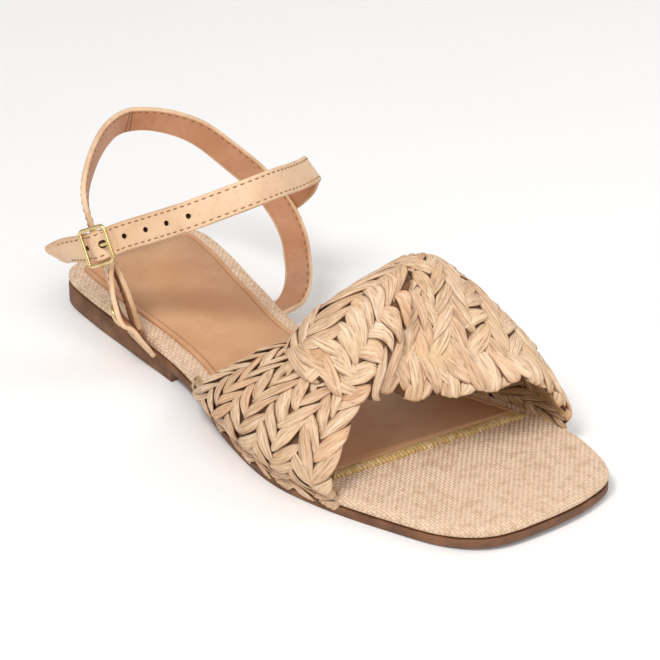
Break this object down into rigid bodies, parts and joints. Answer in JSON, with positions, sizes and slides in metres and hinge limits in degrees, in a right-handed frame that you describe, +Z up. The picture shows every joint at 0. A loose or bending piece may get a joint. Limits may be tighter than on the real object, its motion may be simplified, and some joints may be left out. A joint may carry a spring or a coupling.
{
  "type": "flat sandal",
  "caption": "Flat sandal for the right foot with a knotted raffia band, a buckled leather ankle strap, a raffia covered footbed and a low heel.",
  "frame": {"origin": "on the ground, at the middle of the sandal's outline seen from above", "axes": "+Z up, toe towards -Y, heel towards +Y, inner side of the foot towards +X"},
  "size_m": [0.1084, 0.2446, 0.0831],
  "materials": {
    "sole_brown": "satin moulded brown",
    "raffia_cloth": "woven raffia cloth, matt",
    "sock_leather": "smooth tan lining leather",
    "raffia": "plaited natural raffia",
    "strap_leather": "smooth beige leather",
    "pale_gold": "polished pale gold"
  },
  "bodies": {
    "root": {"outsole": "sole_brown", "footbed": "raffia_cloth", "insole": "sock_leather", "toe_welt": "raffia_cloth", "upper": "raffia", "quarter": "strap_leather", "ankle_strap": "strap_leather", "buckle_strap": "strap_leather", "buckle_frame": "pale_gold", "buckle_prong": "pale_gold", "rivet": "pale_gold"}
  },
  "joints": []
}
